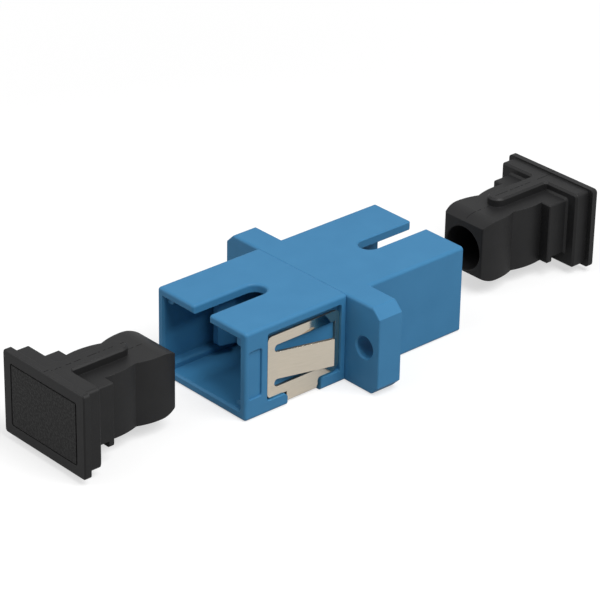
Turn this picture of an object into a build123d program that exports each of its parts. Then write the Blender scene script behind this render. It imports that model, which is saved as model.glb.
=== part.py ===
from build123d import *
import os
from math import cos, radians, sin, tan

# A simplex fibre optic adapter: two mouldings with a screw flange, two latch bodies that hold a
# split sleeve between them, a sheet metal panel clip, and two dust caps pulled out of its sockets.
# The origin is where the two ferrules meet. +Y runs along the fibre, +Z is the keyway side.
# All sizes are in millimetres.

# Body
body_width = 12.8
body_height = 9.3
body_length = 28.2
roof_wall = 0.9
floor_wall = 0.95
side_wall = 0.9
body_edge = 0.35
front_mouth_edge = 0.3
rear_mouth_edge = 0.12
seam_edge = 0.06
mouth_lead = 0.2
past = 1.0
near = 0.01

# Flange
flange_width = 22.0
flange_thickness = 3.0
flange_corner = 1.0
flange_front_edge = 0.3
flange_outer_edge = 0.08
flange_rear_edge = 0.12
screw_hole = 2.2
screw_setback = 2.0
screw_hole_rim = 0.15

# Socket for the plug
rail_width = 0.95
rail_height_top = 1.0
rail_height_top_left = 0.6
rail_height_bottom = 0.65
rail_edge = 0.35
rail_setback = 0.5
keyway_width = 2.2
keyway_length = 7.8
front_keyway_corner = 0.35
rear_keyway_corner = 0.2

# Split sleeve and the tubes that hold it
sleeve_bore = 2.5
sleeve_wall = 0.35
sleeve_length = 11.4
sleeve_slit = 0.4
sleeve_play = 0.05
holder_wall = 0.55
holder_lip_opening = 2.9
holder_lip = 0.4
holder_edge = 0.12

# Latch bodies
latch_plate_play = 0.05
arm_inner = 3.49
arm_thickness = 0.67
arm_width = 4.9
arm_reach = 9.0
arm_corner = 0.4
hook_height = 0.41
hook_setback = 0.1
hook_ramp = 1.6
hook_land = 0.25
hook_back = 0.3

# Recess for the clip
recess_depth = 0.57
recess_from_mouth = 2.7
recess_from_seam = 0.6
recess_from_top = 0.85
recess_from_bottom = 1.25
recess_corner = 0.2
notch_from_front = 2.6
notch_from_rear = 2.45
notch_corner = 0.4
channel_depth = 0.35

# Panel clip
clip_sheet = 0.3
clip_play = 0.02
clip_gap_front = 0.25
clip_gap_rear = 0.05
clip_gap_top = 0.6
clip_gap_bottom = 0.1
clip_corner = 0.5
clip_rear_bottom_corner = 1.0
clip_front_bar = 0.85
clip_rear_bar = 0.5
clip_top_strip = 1.07
clip_bottom_strip = 0.96
clip_slot = 0.8
tongue_root = 0.35
tongue_angle = 15.4
tongue_length = 6.0
strap_gap = 0.1
strap_bend = 0.3

# Pocket beside the mouth, left blank
pocket_from_mouth = 0.4
pocket_length = 1.6
pocket_from_top = 2.05
pocket_from_bottom = 2.2
pocket_depth = 0.2
pocket_corner = 0.3
pocket_edge = 0.06

# Dust caps
cap_plate_inset = 0.45
cap_plate_above = 0.05
cap_plate_rise = 0.65
cap_plate_thickness = 0.75
cap_plate_corner = 0.4
cap_plate_edge = 0.12
cap_panel_margin = 1.1
cap_groove_width = 0.15
cap_groove_depth = 0.12
cap_groove_corner = 0.22
cap_block_play = 0.15
cap_block_drop = 0.08
cap_block_thickness = 1.73
cap_block_corner = 0.4
cap_block_edge = 0.2
cap_play = 0.15
cap_key_play = 0.1
cap_key_length = 7.05
cap_shoulder_play = 0.5
cap_shoulder_length = 2.47
cap_shoulder_rise = 1.4
cap_shoulder_corner = 0.2
cap_shoulder_edge = 0.1
cap_body_rise = 0.64
cap_foot_length = 0.65
cap_foot_drop = 0.65
cap_insertion = 10.77
cap_neck_width = 5.64
cap_flank_width = 5.84
cap_flank_depth = 3.85
cap_waist_width = 5.0
cap_waist_depth = 6.2
cap_bulge_depth = 8.65
cap_bulge_play = 0.08
cap_tip_width = 5.36
cap_tip_corner = 0.2
cap_tip_drop = 0.55
cap_tip_run = 1.8
cap_bore_play = 0.15
cap_bore_depth = 7.5
cap_bore_edge = 0.08
front_cap_pull = 16.1
rear_cap_pull = 17.2

# Places that follow from the sizes above, with distances along the fibre counted from the origin
seam = flange_thickness / 2
mouth = body_length / 2
top = body_height / 2
bottom = -body_height / 2
roof = top - roof_wall
floor = bottom + floor_wall
cavity_half = body_width / 2 - side_wall
cavity_height = roof - floor
cavity_middle = (roof + floor) / 2
rail_inner = cavity_half - rail_width
keyway_end = mouth - keyway_length
holder_bore = sleeve_bore + 2 * sleeve_wall + 2 * sleeve_play
holder_diameter = holder_bore + 2 * holder_wall
holder_stop = sleeve_length / 2 + sleeve_play
holder_end = holder_stop + holder_lip
hook_inner = arm_inner - hook_height
recess_floor = body_width / 2 - recess_depth
recess_front = mouth - recess_from_mouth
recess_rear = seam + recess_from_seam
recess_top = top - recess_from_top
recess_bottom = bottom + recess_from_bottom
notch_front = recess_front - notch_from_front
notch_rear = recess_rear + notch_from_rear
channel_roof = bottom + channel_depth
clip_inner = recess_floor + clip_play
clip_outer = clip_inner + clip_sheet
clip_front = recess_front - clip_gap_front
clip_rear = recess_rear + clip_gap_rear
clip_top = recess_top - clip_gap_top
clip_bottom = recess_bottom + clip_gap_bottom
window_front = clip_front - clip_front_bar
window_rear = clip_rear + clip_rear_bar
window_top = clip_top - clip_top_strip
window_bottom = clip_bottom + clip_bottom_strip
pocket_front = mouth - pocket_from_mouth
pocket_rear = pocket_front - pocket_length
pocket_top = top - pocket_from_top
pocket_bottom = bottom + pocket_from_bottom
cap_head = cap_plate_thickness + cap_block_thickness
cap_tip = cap_head + cap_insertion
cap_plate_width = body_width - 2 * cap_plate_inset
cap_plate_top = top + cap_plate_above
cap_plate_bottom = bottom + cap_plate_rise
cap_block_width = 2 * (cavity_half - cap_block_play)
cap_block_bottom = floor - cap_block_drop
cap_shoulder_width = 2 * (rail_inner - cap_shoulder_play)
cap_shoulder_bottom = floor + cap_shoulder_rise
cap_body_top = roof - cap_play
cap_body_bottom = floor + cap_body_rise
cap_key_top = top - cap_play
cap_bulge_width = 2 * (hook_inner - cap_bulge_play)
front_cap_face = -(mouth + front_cap_pull + cap_head)
rear_cap_face = mouth + rear_cap_pull + cap_head

# Each end of the body is drawn looking into its socket: x across, y up, z out of the mouth.
front_end = Plane(origin=(0, 0, 0), x_dir=(1, 0, 0), z_dir=(0, -1, 0))
rear_end = Plane(origin=(0, 0, 0), x_dir=(-1, 0, 0), z_dir=(0, 1, 0))


def at(shapes, axis, value):
    """Those shapes whose centre lies at a value along an axis, measured from the origin"""
    return shapes.filter_by_position(axis, value - near, value + near)


def keyway_space(outward, corner):
    """The slot through the roof from one mouth to its round end; outward is +1 or -1 along Y"""
    round_centre = keyway_end + keyway_width / 2
    corner_centre = keyway_width / 2 + corner
    with BuildPart() as slot:
        with BuildSketch(Plane.XY.offset(roof)):
            with Locations((0, outward * (mouth + (past - corner) / 2))):
                Rectangle(2 * corner_centre, past + corner)
            with Locations(*[(side * corner_centre, outward * (mouth - corner)) for side in (1, -1)]):
                Circle(corner, mode=Mode.SUBTRACT)
            with Locations((0, outward * (mouth + past + round_centre) / 2)):
                Rectangle(keyway_width, mouth + past - round_centre)
            with Locations((0, outward * round_centre)):
                Circle(keyway_width / 2)
        extrude(amount=roof_wall + past)
    return slot.part


def beside_keyway(edge):
    """Whether an edge belongs to the keyway in the roof rather than to the block around it"""
    middle = edge.center()
    return abs(middle.X) < body_width / 4 and middle.Z > 0 and abs(middle.Y) > keyway_end - near


def body_tube(end, start, outward, keyway, soften, edge):
    """A moulding's outer block from a distance along the fibre to its mouth, with its keyway"""
    with BuildPart() as block:
        with BuildSketch(end.offset(start)):
            Rectangle(body_width, body_height)
        extrude(amount=mouth - start)
        fillet(block.edges().filter_by(Axis.Y), body_edge)
        chamfer(block.faces().sort_by(outward)[0].edges(), seam_edge)
        add(keyway, mode=Mode.SUBTRACT)
        # One soft edge runs round the mouth, in along the keyway and back
        slot_rim = at(block.edges(), Axis.Z, top).filter_by(beside_keyway)
        mouth_rim = block.faces().sort_by(outward)[-1].edges() - slot_rim
        soften(mouth_rim.filter_by(beside_keyway, reverse=True) + slot_rim, edge)
    return block.part


def socket_space(end):
    """The hollow of one socket: plug space between corner rails, and a wide mouth with a lead-in"""
    with BuildPart() as space:
        with BuildSketch(end.offset(seam)) as section:
            with Locations((0, cavity_middle)):
                Rectangle(2 * rail_inner, cavity_height)
            for side, height in ((1, rail_height_top), (-1, rail_height_top_left)):
                with Locations((side * cavity_half / 2, (roof - height + floor + rail_height_bottom) / 2)):
                    Rectangle(cavity_half, cavity_height - height - rail_height_bottom)
            inner = section.vertices().filter_by(lambda corner: abs(corner.X) < rail_inner + near)
            fillet(inner.filter_by(lambda corner: floor + near < corner.Y < roof - near), rail_edge)
        extrude(amount=mouth - seam)
        with BuildSketch(end.offset(mouth - rail_setback)):
            with Locations((0, cavity_middle)):
                Rectangle(2 * cavity_half, cavity_height)
        extrude(amount=rail_setback)
        with BuildSketch(end.offset(mouth - mouth_lead)):
            with Locations((0, cavity_middle)):
                Rectangle(2 * cavity_half, cavity_height)
        extrude(amount=2 * mouth_lead, taper=-45)
    return space.part


def latch_body(end):
    """A plate with the tube that holds half of the sleeve, and two arms whose hooks hold a plug"""
    plan = Plane(origin=(0, 0, 0), x_dir=end.x_dir, z_dir=-end.y_dir)
    side_view = Plane(origin=(0, 0, 0), x_dir=end.z_dir, z_dir=-end.x_dir)
    hook_start = arm_reach - hook_setback
    hook_full = hook_start - hook_ramp
    with BuildPart() as latch:
        for side in (1, -1):
            with BuildSketch(plan.offset(-arm_width / 2)):
                with BuildLine():
                    Polyline(
                        (side * (arm_inner + arm_thickness), seam),
                        (side * (arm_inner + arm_thickness), arm_reach),
                        (side * arm_inner, arm_reach),
                        (side * arm_inner, hook_start),
                        (side * hook_inner, hook_full),
                        (side * hook_inner, hook_full - hook_land),
                        (side * arm_inner, hook_full - hook_land - hook_back),
                        (side * arm_inner, seam),
                        close=True,
                    )
                make_face()
            extrude(amount=arm_width)
        # The arms' free corners are round seen from the side
        with BuildSketch(side_view) as outline:
            with Locations(((seam + arm_reach) / 2, 0)):
                Rectangle(arm_reach - seam, arm_width)
            fillet(outline.vertices().sort_by(Axis.X)[-2:], arm_corner)
        extrude(amount=cavity_half, both=True, mode=Mode.INTERSECT)
        with BuildSketch(end):
            with Locations((0, cavity_middle)):
                Rectangle(2 * (cavity_half - latch_plate_play), cavity_height - 2 * latch_plate_play)
        extrude(amount=seam)
        with BuildSketch(end.offset(seam)):
            Circle(holder_diameter / 2)
        extrude(amount=holder_end - seam)
        circles = latch.edges().filter_by(GeomType.CIRCLE).sort_by(Axis(end.origin, end.z_dir))
        chamfer(circles.filter_by(lambda edge: edge.radius > arm_corner)[-1], holder_edge)
        with BuildSketch(end):
            Circle(holder_bore / 2)
        extrude(amount=holder_stop, mode=Mode.SUBTRACT)
        with BuildSketch(end.offset(holder_stop)):
            Circle(holder_lip_opening / 2)
        extrude(amount=holder_lip, mode=Mode.SUBTRACT)
    return latch.part


def dust_cap(place):
    """A cap drawn with its outer face at y = 0 and its tip towards +Y, moved to its place"""
    shoulder_end = cap_head + cap_shoulder_length
    waist = cap_head + cap_waist_depth
    low_tip = cap_body_bottom + cap_tip_drop
    high_tip = cap_body_top - cap_tip_drop
    bend = cap_tip - cap_tip_run
    key_width = keyway_width - 2 * cap_key_play
    key_centre = cap_head + cap_key_length - key_width / 2
    with BuildPart() as cap:
        # The plug's waved plan, cut to its side view, which falls away towards the tip
        with BuildSketch(Plane.XY.offset(cap_body_bottom)) as plan:
            with BuildLine():
                Polyline((0, cap_head), (cap_neck_width / 2, cap_head), (cap_neck_width / 2, shoulder_end))
                ThreePointArc(
                    (cap_neck_width / 2, shoulder_end),
                    (cap_flank_width / 2, cap_head + cap_flank_depth),
                    (cap_waist_width / 2, waist),
                )
                ThreePointArc(
                    (cap_waist_width / 2, waist),
                    (cap_bulge_width / 2, cap_head + cap_bulge_depth),
                    (cap_tip_width / 2, cap_tip),
                )
                Line((cap_tip_width / 2, cap_tip), (0, cap_tip))
                mirror(about=Plane.YZ)
            make_face()
            fillet(plan.vertices().group_by(Axis.Y)[-1], cap_tip_corner)
        extrude(amount=cap_body_top - cap_body_bottom)
        with BuildSketch(Plane.YZ):
            with BuildLine():
                Line((cap_tip, low_tip), (cap_tip, high_tip))
                TangentArc((bend, cap_body_top), (cap_tip, high_tip), tangent=(1, 0))
                Polyline(
                    (bend, cap_body_top),
                    (cap_head, cap_body_top),
                    (cap_head, cap_body_bottom),
                    (bend, cap_body_bottom),
                )
                TangentArc((bend, cap_body_bottom), (cap_tip, low_tip), tangent=(1, 0))
            make_face()
        extrude(amount=cap_plate_width, both=True, mode=Mode.INTERSECT)
        # Shoulder with its foot
        with BuildSketch(Plane.XZ.offset(-shoulder_end)) as shoulder:
            with Locations((0, (cap_body_top + cap_shoulder_bottom) / 2)):
                Rectangle(cap_shoulder_width, cap_body_top - cap_shoulder_bottom)
            fillet(shoulder.vertices().group_by(Axis.Y)[-1], cap_shoulder_corner)
        extrude(amount=cap_shoulder_length)
        with BuildSketch(Plane.XZ.offset(-shoulder_end)) as foot:
            with Locations((0, cap_shoulder_bottom - cap_foot_drop / 2)):
                Rectangle(cap_shoulder_width, cap_foot_drop)
            fillet(foot.vertices().group_by(Axis.Y)[0], cap_shoulder_corner)
        extrude(amount=cap_foot_length)
        step_middle = (cap_neck_width + cap_shoulder_width) / 4
        step_edges = at(cap.edges(), Axis.Y, shoulder_end)
        chamfer(step_edges.filter_by(lambda edge: abs(edge.center().X) > step_middle), cap_shoulder_edge)
        # Block that stops against the mouth, with the key that runs level from its top
        with BuildSketch(Plane.XZ.offset(-cap_plate_thickness)):
            with Locations((0, (cap_key_top + cap_block_bottom) / 2)):
                RectangleRounded(cap_block_width, cap_key_top - cap_block_bottom, cap_block_corner)
        extrude(amount=-cap_block_thickness)
        with BuildSketch(Plane.XY.offset(cap_body_top)):
            with Locations((0, (cap_plate_thickness + key_centre) / 2)):
                Rectangle(key_width, key_centre - cap_plate_thickness)
            with Locations((0, key_centre)):
                Circle(key_width / 2)
        extrude(amount=cap_key_top - cap_body_top)
        block_end = at(cap.faces().filter_by(Axis.Y), Axis.Y, cap_head).sort_by(SortBy.AREA)[-1]
        level_edges = at(cap.edges(), Axis.Z, cap_key_top)
        key_edges = level_edges.filter_by(lambda edge: edge.center().Y > cap_head + near)
        chamfer(block_end.outer_wire().edges() + key_edges, cap_block_edge)
        # Plate that closes the socket
        with BuildSketch(Plane.XZ):
            with Locations((0, (cap_plate_top + cap_plate_bottom) / 2)):
                RectangleRounded(cap_plate_width, cap_plate_top - cap_plate_bottom, cap_plate_corner)
        extrude(amount=-cap_plate_thickness)
        chamfer(cap.faces().sort_by(Axis.Y)[0].edges(), cap_plate_edge)
        # Fine groove round the panel on the outer face
        panel_width = cap_plate_width - 2 * cap_panel_margin
        panel_height = cap_plate_top - cap_plate_bottom - 2 * cap_panel_margin
        with BuildSketch(Plane.XZ):
            with Locations((0, (cap_plate_top + cap_plate_bottom) / 2)):
                RectangleRounded(panel_width, panel_height, cap_groove_corner)
                RectangleRounded(
                    panel_width - 2 * cap_groove_width,
                    panel_height - 2 * cap_groove_width,
                    cap_groove_corner - cap_groove_width,
                    mode=Mode.SUBTRACT,
                )
        extrude(amount=-cap_groove_depth, mode=Mode.SUBTRACT)
        # Hollow that goes over the sleeve holder
        with BuildSketch(Plane.XZ.offset(-cap_tip)):
            Circle(holder_diameter / 2 + cap_bore_play)
        extrude(amount=cap_bore_depth, mode=Mode.SUBTRACT)
        chamfer(at(cap.edges().filter_by(GeomType.CIRCLE), Axis.Y, cap_tip), cap_bore_edge)
    return place * cap.part


front_keyway = keyway_space(-1, front_keyway_corner)
rear_keyway = keyway_space(1, rear_keyway_corner)
to_front = Axis((0, 0, 0), (0, -1, 0))
front_block = body_tube(front_end, seam, to_front, front_keyway, fillet, front_mouth_edge)
rear_block = body_tube(rear_end, -seam, Axis.Y, rear_keyway, chamfer, rear_mouth_edge)
front_space = socket_space(front_end)
rear_space = socket_space(rear_end)
front_latch_part = latch_body(front_end)
rear_latch_part = latch_body(rear_end)
front_cap_part = dust_cap(Location((0, front_cap_face, 0)))
rear_cap_part = dust_cap(Location((0, rear_cap_face, 0), (0, 0, 180)))

# Front moulding: the end that goes through the panel, with the clip's recess on both sides
with BuildPart() as front_housing:
    add(front_block)
    add(front_space, mode=Mode.SUBTRACT)
    for side in (1, -1):
        with BuildSketch(Plane.YZ.offset(side * recess_floor)) as recess:
            with Locations((-(recess_front + recess_rear) / 2, (recess_top + recess_bottom) / 2)):
                Rectangle(recess_front - recess_rear, recess_top - recess_bottom)
            fillet(recess.vertices(), recess_corner)
            with Locations((-(notch_front + notch_rear) / 2, (recess_bottom + bottom - past) / 2)):
                Rectangle(notch_front - notch_rear, recess_bottom - bottom + past)
            fillet(recess.vertices().group_by(Axis.Y)[1].sort_by(Axis.X)[1:3], notch_corner)
        extrude(amount=side * (recess_depth + past), mode=Mode.SUBTRACT)
    with BuildSketch(Plane.XY.offset(bottom - past)):
        with Locations((0, -(notch_front + notch_rear) / 2)):
            Rectangle(body_width, notch_front - notch_rear)
    extrude(amount=channel_depth + past, mode=Mode.SUBTRACT)
    channel_edges = at(front_housing.edges().filter_by(Axis.Y), Axis.Z, channel_roof)
    channel_edges = channel_edges.filter_by(lambda edge: abs(edge.center().X) < recess_floor + near)
    fillet(channel_edges, strap_bend)
    with BuildSketch(Plane.YZ.offset(body_width / 2)):
        with Locations((-(pocket_front + pocket_rear) / 2, (pocket_top + pocket_bottom) / 2)):
            RectangleRounded(pocket_front - pocket_rear, pocket_top - pocket_bottom, pocket_corner)
    extrude(amount=-pocket_depth, mode=Mode.SUBTRACT)
    rim = at(front_housing.edges(), Axis.X, body_width / 2)
    rim = rim.filter_by(lambda edge: pocket_bottom - near < edge.center().Z < pocket_top + near)
    rim = rim.filter_by(lambda edge: pocket_rear - near < -edge.center().Y < pocket_front + near)
    chamfer(rim, pocket_edge)
front_housing.part.label = "front_housing"

# Rear moulding: carries the flange and the pocket for both latch bodies' plates
with BuildPart() as rear_housing:
    with BuildSketch(rear_end.offset(-seam)) as flange:
        Rectangle(flange_width, body_height)
        chamfer(flange.vertices(), flange_corner)
    extrude(amount=flange_thickness)
    front_edges = rear_housing.faces().sort_by(Axis.Y)[0].edges()
    fillet(front_edges.filter_by(lambda edge: abs(edge.center().Z) > top - near), flange_front_edge)
    front_edges = rear_housing.faces().sort_by(Axis.Y)[0].edges()
    ear_end = flange_width / 2 - flange_corner
    chamfer(front_edges.filter_by(lambda edge: abs(edge.center().X) > ear_end), flange_outer_edge)
    chamfer(rear_housing.faces().sort_by(Axis.Y)[-1].edges(), flange_rear_edge)
    with BuildSketch(rear_end.offset(-seam)):
        with GridLocations(flange_width - 2 * screw_setback, 0, 2, 1):
            Circle(screw_hole / 2)
    extrude(amount=flange_thickness, mode=Mode.SUBTRACT)
    rims = rear_housing.edges().filter_by(GeomType.CIRCLE)
    chamfer(rims.filter_by(lambda edge: abs(edge.radius - screw_hole / 2) < 0.001), screw_hole_rim)
    add(rear_block)
    with BuildSketch(rear_end.offset(-seam)):
        with Locations((0, cavity_middle)):
            Rectangle(2 * cavity_half, cavity_height)
    extrude(amount=flange_thickness, mode=Mode.SUBTRACT)
    add(rear_space, mode=Mode.SUBTRACT)
rear_housing.part.label = "rear_housing"

with BuildPart() as front_latch:
    add(front_latch_part)
front_latch.part.label = "front_latch"

with BuildPart() as rear_latch:
    add(rear_latch_part)
rear_latch.part.label = "rear_latch"

# Ceramic sleeve, slit along its length so that it grips both ferrules
with BuildPart() as alignment_sleeve:
    with BuildSketch(front_end.offset(-sleeve_length / 2)):
        Circle(sleeve_bore / 2 + sleeve_wall)
        Circle(sleeve_bore / 2, mode=Mode.SUBTRACT)
        with Locations((0, -(sleeve_bore + sleeve_wall) / 2)):
            Rectangle(sleeve_slit, sleeve_wall * 2, mode=Mode.SUBTRACT)
    extrude(amount=sleeve_length)
alignment_sleeve.part.label = "alignment_sleeve"

# Clip: one strip of sheet, folded into a U round the underside, with a sprung tongue on each side
with BuildPart() as panel_clip:
    strap_length = notch_front - notch_rear - 2 * strap_gap
    strap_bottom = channel_roof - clip_play - clip_sheet
    strap_top = (clip_bottom + window_bottom) / 2
    tongue_start = window_front - tongue_root
    tongue_top = window_top - clip_slot
    tongue_bottom = window_bottom + clip_slot
    turn = radians(tongue_angle)
    tongue_out = clip_outer + tongue_length * sin(turn)
    tongue_end = tongue_length * cos(turn) - tongue_start
    with BuildSketch(front_end.offset(notch_rear + strap_gap)) as strap:
        with Locations((0, (strap_bottom + strap_top) / 2)):
            Rectangle(2 * clip_outer, strap_top - strap_bottom)
        fillet(strap.vertices().group_by(Axis.Y)[0], strap_bend + clip_sheet)
    extrude(amount=strap_length)
    with BuildSketch(front_end.offset(notch_rear + strap_gap)) as inside:
        with Locations((0, (strap_bottom + clip_sheet + strap_top) / 2)):
            Rectangle(2 * clip_inner, strap_top - strap_bottom - clip_sheet)
        fillet(inside.vertices().group_by(Axis.Y)[0], strap_bend)
    extrude(amount=strap_length, mode=Mode.SUBTRACT)
    for side in (1, -1):
        with BuildSketch(Plane.YZ.offset(side * clip_inner)) as frame:
            with Locations((-(clip_front + clip_rear) / 2, (clip_top + clip_bottom) / 2)):
                Rectangle(clip_front - clip_rear, clip_top - clip_bottom)
            rear_corners = frame.vertices().group_by(Axis.X)[-1].sort_by(Axis.Y)
            fillet(rear_corners[0], clip_rear_bottom_corner)
            square = frame.vertices().filter_by(lambda corner: corner.Y > 0 or corner.X < near - clip_front)
            fillet(square, clip_corner)
            for low, high in ((window_bottom, tongue_bottom), (tongue_top, window_top)):
                with Locations((-(window_front + window_rear) / 2, (low + high) / 2)):
                    SlotOverall(window_front - window_rear, high - low, mode=Mode.SUBTRACT)
            with Locations((-(tongue_start + window_rear) / 2, (window_top + window_bottom) / 2)):
                Rectangle(tongue_start - window_rear, window_top - window_bottom, mode=Mode.SUBTRACT)
        extrude(amount=side * clip_sheet)
        with BuildSketch(Plane.XY.offset(tongue_bottom)):
            with BuildLine():
                Polyline(
                    (side * clip_inner, -window_front),
                    (side * clip_outer, -window_front),
                    (side * clip_outer, -tongue_start),
                    (side * tongue_out, tongue_end),
                    (side * (tongue_out - clip_sheet * cos(turn)), tongue_end + clip_sheet * sin(turn)),
                    (side * clip_inner, -tongue_start + clip_sheet * tan(turn / 2)),
                    close=True,
                )
            make_face()
        extrude(amount=tongue_top - tongue_bottom)
panel_clip.part.label = "panel_clip"

with BuildPart() as front_dust_cap:
    add(front_cap_part)
front_dust_cap.part.label = "front_dust_cap"

with BuildPart() as rear_dust_cap:
    add(rear_cap_part)
rear_dust_cap.part.label = "rear_dust_cap"

os.makedirs("parts", exist_ok=True)
pieces = (
    front_housing,
    rear_housing,
    front_latch,
    rear_latch,
    alignment_sleeve,
    panel_clip,
    front_dust_cap,
    rear_dust_cap,
)
for piece in pieces:
    export_step(piece.part, f"parts/{piece.part.label}.step")
    print(piece.part.label, "solids", len(piece.part.solids()), "volume", round(piece.part.volume, 2))
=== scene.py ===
# %% [markdown]
# # A simplex fibre optic adapter with its dust caps pulled out
#
# The part is a small coupler. Two fibre plugs push into it from opposite ends, and a split sleeve in
# the middle holds their tips in line. Its hard parts already exist as solids, so this lesson loads
# them as they are and spends its effort on finish: moulded plastic, bright sheet metal, ceramic, the
# fine lines that the mould leaves, and the light that makes them readable. Lengths are in metres.

# %% Load the solids
import math

import bmesh
import bpy
from mathutils import Matrix, Vector, noise as pattern
from mathutils.bvhtree import BVHTree


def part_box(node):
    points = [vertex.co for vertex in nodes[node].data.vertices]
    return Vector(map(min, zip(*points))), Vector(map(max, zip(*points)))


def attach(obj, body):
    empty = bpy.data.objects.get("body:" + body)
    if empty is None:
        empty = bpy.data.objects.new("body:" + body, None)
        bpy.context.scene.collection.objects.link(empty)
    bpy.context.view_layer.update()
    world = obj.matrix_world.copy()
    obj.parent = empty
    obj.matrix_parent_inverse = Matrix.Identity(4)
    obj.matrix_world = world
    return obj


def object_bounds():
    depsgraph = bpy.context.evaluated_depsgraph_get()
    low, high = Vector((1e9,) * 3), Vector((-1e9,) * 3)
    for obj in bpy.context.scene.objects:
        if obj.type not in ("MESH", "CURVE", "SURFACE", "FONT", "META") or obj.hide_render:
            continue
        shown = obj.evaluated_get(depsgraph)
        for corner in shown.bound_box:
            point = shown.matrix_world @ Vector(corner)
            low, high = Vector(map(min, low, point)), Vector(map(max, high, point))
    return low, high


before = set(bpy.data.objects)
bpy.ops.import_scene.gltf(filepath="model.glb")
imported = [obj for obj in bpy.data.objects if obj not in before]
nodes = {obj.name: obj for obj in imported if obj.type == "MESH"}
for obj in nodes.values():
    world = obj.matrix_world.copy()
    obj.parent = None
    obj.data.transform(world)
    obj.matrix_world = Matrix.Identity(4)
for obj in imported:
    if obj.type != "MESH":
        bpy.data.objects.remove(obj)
cad_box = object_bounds()
MM = 0.001
print("solids", sorted(nodes))

# %% [markdown]
# Each finish is a small network of nodes. Built by hand, a network takes many lines, so one helper
# starts a material with its shader, and another adds a node and sets what is on it.

# %% Start a material and add nodes


def start_material(name):
    """A new material with an empty network but for its shader and output"""
    material = bpy.data.materials.new(name)
    material.use_nodes = True
    tree = material.node_tree
    tree.nodes.clear()
    output = tree.nodes.new("ShaderNodeOutputMaterial")
    shader = tree.nodes.new("ShaderNodeBsdfPrincipled")
    tree.links.new(shader.outputs["BSDF"], output.inputs["Surface"])
    return material, tree, shader


def add_node(tree, kind, **settings):
    """A node with its properties and unlinked inputs set by name"""
    node = tree.nodes.new(kind)
    for key, value in settings.items():
        if hasattr(node, key):
            setattr(node, key, value)
        else:
            node.inputs[key.replace("_", " ")].default_value = value
    return node


print("can start a material")

# %% [markdown]
# A real surface is never one even colour, and noise gives it clouds and grain. The patterns read the
# piece's own coordinates, so they stay on it when it moves. The coordinates are turned into
# millimetres, so that a noise of 14 per millimetre has about fourteen features in each.

# %% Lay a pattern on a piece


def place_pattern(tree, squeeze=(1, 1, 1)):
    """The piece's own coordinates in millimetres, where a squeeze above 1 makes a pattern finer"""
    coordinates = add_node(tree, "ShaderNodeTexCoord")
    mapping = add_node(tree, "ShaderNodeMapping")
    mapping.inputs["Scale"].default_value = [one / MM for one in squeeze]
    tree.links.new(coordinates.outputs["Object"], mapping.inputs["Vector"])
    return mapping.outputs["Vector"]


def noise(tree, vector, per_mm, detail=2.0, roughness=0.5):
    """A noise value between 0 and 1, with so many features per millimetre"""
    node = add_node(tree, "ShaderNodeTexNoise", Scale=per_mm, Detail=detail, Roughness=roughness)
    tree.links.new(vector, node.inputs["Vector"])
    return node.outputs["Fac"]


print("can lay a pattern")

# %% [markdown]
# A noise is only a number until something reads it. It can run between two colours, become a number
# in a chosen range, such as a roughness, or say how much of a second colour shows. The mixing node
# has sockets for numbers, vectors and colours side by side, so those for colours go by their places.

# %% Turn a pattern into a colour or a number
COLOUR_A, COLOUR_B, COLOUR_OUT = 6, 7, 2


def ramp(tree, value, dark, light, low=0.3, high=0.7):
    """Spreads a value onto two colours, from low to high, where most of a noise lies"""
    node = add_node(tree, "ShaderNodeValToRGB")
    node.color_ramp.elements[0].position = low
    node.color_ramp.elements[0].color = (*dark, 1)
    node.color_ramp.elements[1].position = high
    node.color_ramp.elements[1].color = (*light, 1)
    tree.links.new(value, node.inputs["Fac"])
    return node.outputs["Color"]


def spread(tree, value, low, high, start=0.0, end=1.0):
    """Maps a value from start..end onto low..high, and holds it there outside"""
    node = add_node(tree, "ShaderNodeMapRange", From_Min=start, From_Max=end, To_Min=low, To_Max=high)
    tree.links.new(value, node.inputs["Value"])
    return node.outputs["Result"]


def blend_colours(tree, amount, first, second):
    """Goes from the first colour to the second as the amount goes from 0 to 1"""
    node = add_node(tree, "ShaderNodeMix", data_type="RGBA")
    tree.links.new(amount, node.inputs["Factor"])
    for index, value in ((COLOUR_A, first), (COLOUR_B, second)):
        if isinstance(value, tuple):
            node.inputs[index].default_value = (*value, 1)
        else:
            tree.links.new(value, node.inputs[index])
    return node.outputs[COLOUR_OUT]


print("can colour a pattern")

# %% [markdown]
# Hardly any real edge is truly sharp, and the light line along an edge makes a part look solid.
# Rounding every edge in the mesh would cost thousands of faces, so the normals turn over softly near
# each edge instead, and the grain is a bump laid on those normals.

# %% Soft edges and grain
EDGE_SAMPLES = 4


def soft_surface(tree, shader, height, depth, strength, edge):
    """A bump by a height pattern, on normals that go softly round every edge"""
    rounding = add_node(tree, "ShaderNodeBevel", samples=EDGE_SAMPLES, Radius=edge)
    relief = add_node(tree, "ShaderNodeBump", Strength=strength, Distance=depth)
    tree.links.new(height, relief.inputs["Height"])
    tree.links.new(rounding.outputs["Normal"], relief.inputs["Normal"])
    tree.links.new(relief.outputs["Normal"], shader.inputs["Normal"])


print("can soften edges")

# %% [markdown]
# The two housings and the latch bodies are moulded in one blue plastic. On the real part it is satin:
# the mould is lightly grained, so the surface has a very fine unevenness and a soft sheen, and the
# colour clouds a little where the melt flowed. Painting a flat colour would look like a drawing, so
# the colour comes from slow noise and the grain from fast noise in the bump. A few specks of dust lie
# on it: each cell of a loose grid holds one small ball, and those that the surface cuts show.

# %% Blue moulded plastic
PLASTIC_EDGE = 0.07 * MM
BLUE_DEEP = (0.046, 0.207, 0.4)
BLUE_PALE = (0.051, 0.221, 0.422)
DUST_COLOUR = (0.09, 0.27, 0.46)
DUST_SPACING = 2.6
DUST_RADIUS = 0.045
DUST_CORE = 0.6


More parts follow.
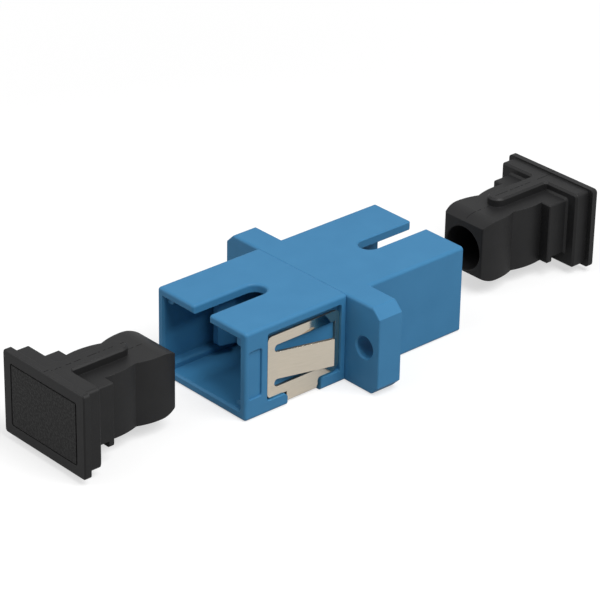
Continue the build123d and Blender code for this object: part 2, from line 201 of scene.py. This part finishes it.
def specks(tree, vector, spacing, radius):
    """A mask of small round specks that fade from their core to their rim, sized in millimetres"""
    cells = add_node(tree, "ShaderNodeTexVoronoi", Scale=1 / spacing)
    tree.links.new(vector, cells.inputs["Vector"])
    rim = radius / spacing
    core = rim * DUST_CORE
    return spread(tree, cells.outputs["Distance"], low=1.0, high=0.0, start=core, end=rim)


blue_plastic, tree, shader = start_material("blue_moulded_plastic")
where = place_pattern(tree)
clouds = noise(tree, where, per_mm=0.35, detail=4.0)
colour = ramp(tree, clouds, BLUE_DEEP, BLUE_PALE)
dust = specks(tree, where, DUST_SPACING, DUST_RADIUS)
tree.links.new(blend_colours(tree, dust, colour, DUST_COLOUR), shader.inputs["Base Color"])
grain = noise(tree, where, per_mm=14.0, detail=3.0, roughness=0.6)
tree.links.new(spread(tree, grain, low=0.44, high=0.56), shader.inputs["Roughness"])
shader.inputs["Specular IOR Level"].default_value = 0.25
soft_surface(tree, shader, grain, depth=0.003 * MM, strength=0.5, edge=PLASTIC_EDGE)
print(blue_plastic.name)

# %% [markdown]
# The caps are black plastic. Most of each one is satin, but the sunken panel of its plate was left
# coarse by the toolmaker. Two materials would need the panel to be cut out of the solid, so one
# network does both, with a mask that shows where the panel is. The mask comes from how far a point
# is from the panel's middle, and its sizes are in millimetres, as the patterns are.

# %% Where a cap's panel is
PANEL_MIDDLE = 0.35
PANEL_HALF_WIDTH = 4.78
PANEL_HALF_HEIGHT = 3.18
FACE_DEPTH = 0.3
MASK_FADE = 0.1


def combine(tree, operation, first, second):
    """One of the arithmetic operations on two values, each an output or a number"""
    node = add_node(tree, "ShaderNodeMath", operation=operation)
    for socket, value in zip(node.inputs, (first, second)):
        if isinstance(value, (int, float)):
            socket.default_value = value
        else:
            tree.links.new(value, socket)
    return node.outputs["Value"]


def without_sign(tree, value):
    """How far a value is from zero"""
    return combine(tree, "ABSOLUTE", value, 0.0)


def inside(tree, value, middle, half):
    """A mask that is 1 within half of the middle, and fades out just before it gets that far"""
    away = without_sign(tree, combine(tree, "SUBTRACT", value, middle))
    return spread(tree, away, low=1.0, high=0.0, start=half - MASK_FADE, end=half)


def panel_mask(tree, where, face):
    """A mask that is 1 on the panel of a plate whose outer face lies that far along the fibre"""
    place = add_node(tree, "ShaderNodeSeparateXYZ")
    tree.links.new(where, place.inputs["Vector"])
    width = inside(tree, place.outputs["X"], 0.0, PANEL_HALF_WIDTH)
    height = inside(tree, place.outputs["Z"], PANEL_MIDDLE, PANEL_HALF_HEIGHT)
    depth = inside(tree, place.outputs["Y"], face / MM, FACE_DEPTH)
    return combine(tree, "MULTIPLY", combine(tree, "MULTIPLY", width, height), depth)


print("can find the panel")

# %% [markdown]
# Outside the panel the black is made as the blue is, from slow clouds and a fine grain. On the panel
# one coarse noise does two jobs: its bump is many times the grain's, so that the panel looks speckled
# and catches the light, and it sets the colour by that same relief, as painted shade that turns the
# pits black and painted light that turns the crests grey.

# %% Black moulded plastic
PANEL_RELIEF = 20.0
BLACK_DEEP = (0.0126, 0.0126, 0.0131)
BLACK_PALE = (0.0154, 0.0154, 0.0159)
# Painted shade in the panel's pits and painted light on its crests, which follow its bump
PIT_PAINTED_SHADE = (0.0, 0.0, 0.0)
CREST_PAINTED_LIGHT = (0.019, 0.019, 0.019)


def black_plastic_for(cap):
    """Black plastic whose coarse panel lies on the outer face of one cap"""
    low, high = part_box(cap)
    face = low[1] if abs(low[1]) > abs(high[1]) else high[1]
    material, tree, shader = start_material("black_plastic_" + cap)
    where = place_pattern(tree)
    panel = panel_mask(tree, where, face)
    clouds = noise(tree, where, per_mm=0.5, detail=3.0)
    colour = ramp(tree, clouds, BLACK_DEEP, BLACK_PALE)
    pits = noise(tree, where, per_mm=4.5, detail=2.0, roughness=0.7)
    # The panel's colour follows its own bump: painted shade in the pits, painted light on the crests
    coarse = ramp(tree, pits, PIT_PAINTED_SHADE, CREST_PAINTED_LIGHT, low=0.47, high=0.57)
    tree.links.new(blend_colours(tree, panel, colour, coarse), shader.inputs["Base Color"])
    grain = noise(tree, where, per_mm=9.0, detail=3.0, roughness=0.6)
    tree.links.new(spread(tree, grain, low=0.4, high=0.55), shader.inputs["Roughness"])
    shader.inputs["Specular IOR Level"].default_value = 0.26
    rough_panel = combine(tree, "MULTIPLY", combine(tree, "MULTIPLY", panel, pits), PANEL_RELIEF)
    height = combine(tree, "ADD", grain, rough_panel)
    soft_surface(tree, shader, height, depth=0.004 * MM, strength=0.6, edge=PLASTIC_EDGE)
    print(material.name, "face at", round(face, 5))
    return material


print("can make black plastic")

# %% [markdown]
# The clip is thin bright stainless sheet. It was rolled, so it mirrors its surroundings almost
# cleanly, with faint level streaks: the noise is squeezed upwards, which leaves it long the other
# ways. A metal has no colour of its own beyond its reflection, and this one is warm, so the base
# colour is a warm grey. The press shears the sheet's edges and leaves them dull, so every face that
# doesn't look to a side is rougher and darker. The strap underneath is too, but it lies in shadow.

# %% Bright sheet metal
SHEET_EDGE = 0.01 * MM
SHEET_DEEP = (0.8, 0.72, 0.595)
SHEET_PALE = (0.86, 0.77, 0.635)
CUT_ROUGHNESS = 0.45
CUT_COLOUR = (0.3, 0.27, 0.23)

bright_sheet, tree, shader = start_material("bright_sheet_metal")
where = place_pattern(tree, squeeze=(1, 1, 12))
streaks = noise(tree, where, per_mm=0.8, detail=4.0)
colour = ramp(tree, streaks, SHEET_DEEP, SHEET_PALE, low=0.25, high=0.75)
facing = add_node(tree, "ShaderNodeSeparateXYZ")
tree.links.new(add_node(tree, "ShaderNodeTexCoord").outputs["Normal"], facing.inputs["Vector"])
to_a_side = without_sign(tree, facing.outputs["X"])
sheared = spread(tree, to_a_side, low=1.0, high=0.0, start=0.3, end=0.6)
tree.links.new(blend_colours(tree, sheared, colour, CUT_COLOUR), shader.inputs["Base Color"])
polish = spread(tree, streaks, low=0.05, high=0.11)
cut = combine(tree, "MULTIPLY", sheared, CUT_ROUGHNESS)
tree.links.new(combine(tree, "MAXIMUM", polish, cut), shader.inputs["Roughness"])
shader.inputs["Metallic"].default_value = 1.0
soft_surface(tree, shader, streaks, depth=0.0005 * MM, strength=0.2, edge=SHEET_EDGE)
print(bright_sheet.name)

# %% [markdown]
# The sleeve is sintered ceramic, ground and polished. It is nearly white, with a hard gloss and the
# faintest yellow. Grinding leaves fine rings round it, so its noise is squeezed along its length.

# %% Polished ceramic
CERAMIC_EDGE = 0.03 * MM
CERAMIC_DEEP = (0.76, 0.74, 0.68)
CERAMIC_PALE = (0.8, 0.78, 0.72)

ceramic, tree, shader = start_material("polished_ceramic")
where = place_pattern(tree, squeeze=(0.3, 6, 0.3))
rings = noise(tree, where, per_mm=1.5, detail=2.0)
tree.links.new(ramp(tree, rings, CERAMIC_DEEP, CERAMIC_PALE), shader.inputs["Base Color"])
tree.links.new(spread(tree, rings, low=0.1, high=0.2), shader.inputs["Roughness"])
soft_surface(tree, shader, rings, depth=0.001 * MM, strength=0.3, edge=CERAMIC_EDGE)
print(ceramic.name)

# %% [markdown]
# The solids keep their shapes: only the material in each one's slot changes. One plastic serves all
# four blue pieces, as one batch would, but the caps need a network each, because their coarse panels
# lie at opposite ends of the part.

# %% Give each solid its finish
finishes = {
    "front_housing": blue_plastic,
    "rear_housing": blue_plastic,
    "front_latch": blue_plastic,
    "rear_latch": blue_plastic,
    "alignment_sleeve": ceramic,
    "panel_clip": bright_sheet,
    "front_dust_cap": black_plastic_for("front_dust_cap"),
    "rear_dust_cap": black_plastic_for("rear_dust_cap"),
}
for name, material in finishes.items():
    nodes[name].data.materials.clear()
    nodes[name].data.materials.append(material)
    print(name, material.name)

# %% [markdown]
# Each cap's mould splits along its middle, and the plastic crept a hair into the gap: a broken line
# runs over the top from the plate to the tip. It could be a bump in the material, but a line that
# crosses steps and curves is easier as a real bead. Its plastic is the caps' own and it is thin and
# rough, but its black is painted darker than theirs: painted shade along the line.

# %% Plastic of the parting lines, painted darker as shade
# The bead's black is darker than the caps': painted shade along the line.
BEAD_SHADE_DEEP = (0.002, 0.002, 0.002)
BEAD_SHADE_PALE = (0.006, 0.006, 0.006)

bead_painted_shade, tree, shader = start_material("black_bead_painted_shade")
where = place_pattern(tree)
flecks = noise(tree, where, per_mm=3.0, detail=2.0)
colour = ramp(tree, flecks, BEAD_SHADE_DEEP, BEAD_SHADE_PALE, low=0.4, high=0.6)
tree.links.new(colour, shader.inputs["Base Color"])
tree.links.new(spread(tree, flecks, low=0.6, high=0.8), shader.inputs["Roughness"])
shader.inputs["Specular IOR Level"].default_value = 0.12
print(bead_painted_shade.name)

# %% [markdown]
# The real line is broken, because the mould doesn't close equally well all along. Dashes of one
# length would look drawn, so a slow noise sets the long dashes and a faster one nibbles at them. The
# seed gives each cap dashes of its own, the same ones each time.

# %% Where a parting line shows
DASH_RATE = 0.8 / MM
DASH_LEVEL = -0.06
SHORT_DASH_SHARE = 0.6
SHORT_DASH_RATE = 3


def bead_shows(seed, along):
    """Whether the bead stands proud at that distance along the fibre"""
    place = Vector((seed, along * DASH_RATE, 0))
    short = pattern.noise(SHORT_DASH_RATE * place)
    return pattern.noise(place) + SHORT_DASH_SHARE * short > DASH_LEVEL


print("can break a line")

# %% [markdown]
# A thin strip of faces starts high above the cap. Each of its points drops onto the solid below it
# and a little further, so that the bead has a root, and a closed bead is pulled up from there. Its
# middle row stands proud and its sides sink in. Between the dashes the middle sinks in too.

# %% Parting lines on the caps
BEAD_HALF_WIDTH = 0.035 * MM
BEAD_HEIGHT = 0.03 * MM
BEAD_ROOT = 0.05 * MM
BEAD_SINK = 0.008 * MM
BEAD_STEP = 0.05 * MM
DROP_FROM = 1 * MM
END_MARGIN = 0.12 * MM
DOWN = Vector((0, 0, -1))


def parting_line(name, cap, body, start, end, seed):
    """A broken bead along x = 0 over a cap's top, from one distance along the fibre to another"""
    solid = nodes[cap].data
    surface = BVHTree.FromPolygons(
        [vertex.co for vertex in solid.vertices], [face.vertices for face in solid.polygons]
    )
    steps = max(2, round(abs(end - start) / BEAD_STEP))
    form = bmesh.new()
    bmesh.ops.create_grid(form, x_segments=2, y_segments=steps, size=1)
    bmesh.ops.scale(form, verts=form.verts, vec=(BEAD_HALF_WIDTH, abs(end - start) / 2, 1))
    above = Vector((0, (start + end) / 2, cad_box[1][2] + DROP_FROM))
    bmesh.ops.translate(form, verts=form.verts, vec=above)
    for vertex in form.verts:
        hit = surface.ray_cast(vertex.co, DOWN)[0]
        vertex.co.z = hit.z - BEAD_ROOT
    top = bmesh.ops.extrude_face_region(form, geom=form.faces[:])["geom"]
    for vertex in (one for one in top if isinstance(one, bmesh.types.BMVert)):
        in_the_middle = abs(vertex.co.x) < BEAD_HALF_WIDTH / 2
        crown = BEAD_HEIGHT if in_the_middle and bead_shows(seed, vertex.co.y) else 0.0
        vertex.co.z += BEAD_ROOT + crown - BEAD_SINK
    bmesh.ops.recalc_face_normals(form, faces=form.faces)
    mesh = bpy.data.meshes.new(name)
    form.to_mesh(mesh)
    form.free()
    bead = bpy.data.objects.new(name, mesh)
    bpy.context.scene.collection.objects.link(bead)
    mesh.materials.append(bead_painted_shade)
    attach(bead, body)
    print(name, "faces", len(mesh.polygons))


for cap, body, seed in (("front_dust_cap", "front_cap", 3.0), ("rear_dust_cap", "rear_cap", 11.0)):
    low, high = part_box(cap)
    parting_line(body + "_parting_line", cap, body, low[1] + END_MARGIN, high[1] - END_MARGIN, seed)

# %% [markdown]
# The photograph looks down on the part from its front right. The angles and the distance below put
# the camera where the photographer's was, measured from corners of the body and the flange. The aim
# is how far the part's middle lies to the right of the view's middle and above it. The lens comes
# from the same measurement, in pixels of the picture.

# %% Camera
AZIMUTH, ELEVATION, ROLL = 47.568, 27.574, 1.057
DISTANCE, AIM_RIGHT, AIM_UP = 283.307 * MM, 1.169 * MM, -0.877 * MM
LENS_PIXELS = 2923.116
PICTURE_PIXELS = 600
SENSOR_WIDTH = 36
NEAREST_SEEN = 0.01

turn = (
    Matrix.Rotation(math.radians(AZIMUTH), 4, "Z")
    @ Matrix.Rotation(math.radians(90 - ELEVATION), 4, "X")
    @ Matrix.Rotation(math.radians(ROLL), 4, "Z")
)
camera_data = bpy.data.cameras.new("camera")
camera_data.sensor_width = SENSOR_WIDTH
camera_data.lens = LENS_PIXELS * SENSOR_WIDTH / PICTURE_PIXELS
camera_data.clip_start = NEAREST_SEEN
camera = bpy.data.objects.new("camera", camera_data)
bpy.context.scene.collection.objects.link(camera)
camera.matrix_world = turn @ Matrix.Translation((-AIM_RIGHT, -AIM_UP, DISTANCE))
bpy.context.scene.camera = camera
print("camera at", [round(one, 4) for one in camera.matrix_world.translation])

# %% [markdown]
# A product shot like this one has white paper all round. Paper bright enough to look white would
# light the part from every side and wash its colours out, so its strength goes by the kind of ray: it
# is white to the camera, two thirds as bright in the gloss of the part, and lights surfaces weakly.

# %% Paper all round
PAPER_LIGHT = 0.18
PAPER_IN_GLOSS = 0.65
PAPER_SEEN = 1.0


def strength_by_ray(tree, light, gloss, seen):
    """A strength that differs for light on surfaces, for reflections, and for what is seen"""
    path = add_node(tree, "ShaderNodeLightPath")
    direct = combine(
        tree, "MAXIMUM", path.outputs["Is Camera Ray"], path.outputs["Is Transmission Ray"]
    )
    direct = combine(tree, "MULTIPLY", direct, seen - light)
    mirrored = combine(tree, "MULTIPLY", path.outputs["Is Glossy Ray"], gloss - light)
    return combine(tree, "ADD", combine(tree, "ADD", direct, mirrored), light)


world = bpy.data.worlds.new("studio")
bpy.context.scene.world = world
world.use_nodes = True
tree = world.node_tree
tree.nodes.clear()
backdrop = add_node(tree, "ShaderNodeBackground", Color=(1, 1, 1, 1))
world_output = add_node(tree, "ShaderNodeOutputWorld")
strength = strength_by_ray(tree, PAPER_LIGHT, PAPER_IN_GLOSS, PAPER_SEEN)
tree.links.new(strength, backdrop.inputs["Strength"])
tree.links.new(backdrop.outputs["Background"], world_output.inputs["Surface"])
print("paper", PAPER_LIGHT, PAPER_IN_GLOSS, PAPER_SEEN)

# %% [markdown]
# The lamps give the part its shape. A large soft box high on the right makes the top the lightest
# face and draws the light lines along the edges, and weaker ones from the front and the left keep the
# other sides readable. They are large for the part's size, so no shadow has a hard edge.

# %% Lamps


def soft_box(name, place, size, watts):
    """A square area lamp that faces the part's middle"""
    data = bpy.data.lights.new(name, "AREA")
    data.shape = "SQUARE"
    data.size = size
    data.energy = watts
    lamp = bpy.data.objects.new(name, data)
    bpy.context.scene.collection.objects.link(lamp)
    lamp.location = place
    lamp.rotation_euler = (-Vector(place)).to_track_quat("-Z", "Y").to_euler()
    print(name, "lamp", watts, "W")


soft_box("key", place=(0.178, 0.012, 0.27), size=0.22, watts=0.98)
soft_box("front", place=(-0.06, -0.16, 0.29), size=0.2, watts=0.2)
soft_box("left", place=(-0.22, -0.26, 0.16), size=0.2, watts=0.24)

# %% [markdown]
# The floor is the same paper. In a studio the sheet curves up behind the part, but here the world is
# white too, so one large flat square is enough and the two run together. It lies a hair below the
# part, so that no two faces share a place.

# %% Floor
FLOOR_HALF = 2.0
FLOOR_GAP = 0.01 * MM

floor_height = cad_box[0][2] - FLOOR_GAP
floor_mesh = bpy.data.meshes.new("floor")
form = bmesh.new()
bmesh.ops.create_grid(form, x_segments=1, y_segments=1, size=FLOOR_HALF)
bmesh.ops.translate(form, verts=form.verts, vec=(0, 0, floor_height))
form.to_mesh(floor_mesh)
form.free()
floor = bpy.data.objects.new("floor", floor_mesh)
bpy.context.scene.collection.objects.link(floor)
print("floor at", round(floor_height, 6))

# %% [markdown]
# The paper's colour alone would need strong lamps to look white, and those would wash out the blue,
# so it also glows, but only where the camera or the part's gloss sees it. It lights nothing and
# keeps the part's soft shadow. Away from the part the lamps fade, so the glow grows there, and the
# white has no edge.

# %% White paper for the floor
FLOOR_COLOUR = (0.43, 0.43, 0.43, 1)
GLOW_LIGHT = 0.0
GLOW_IN_GLOSS = 0.15
GLOW_SEEN = 0.62
GLOW_GROWTH = 1.6
GROWTH_START = 0.07
GROWTH_END = 0.4

white_paper, tree, shader = start_material("white_paper")
shader.inputs["Base Color"].default_value = FLOOR_COLOUR
shader.inputs["Roughness"].default_value = 0.9
shader.inputs["Specular IOR Level"].default_value = 0.0
shader.inputs["Emission Color"].default_value = (1, 1, 1, 1)
glow = strength_by_ray(tree, GLOW_LIGHT, GLOW_IN_GLOSS, GLOW_SEEN)
coordinates = add_node(tree, "ShaderNodeTexCoord")
away = add_node(tree, "ShaderNodeVectorMath", operation="LENGTH")
tree.links.new(coordinates.outputs["Object"], away.inputs[0])
growth = spread(
    tree, away.outputs["Value"], low=1.0, high=GLOW_GROWTH, start=GROWTH_START, end=GROWTH_END
)
tree.links.new(combine(tree, "MULTIPLY", glow, growth), shader.inputs["Emission Strength"])
floor_mesh.materials.append(white_paper)
print(white_paper.name)

# %% [markdown]
# With the Standard view a colour comes out as it was written, not toned down as on film.

# %% Standard view
bpy.context.scene.view_settings.view_transform = "Standard"
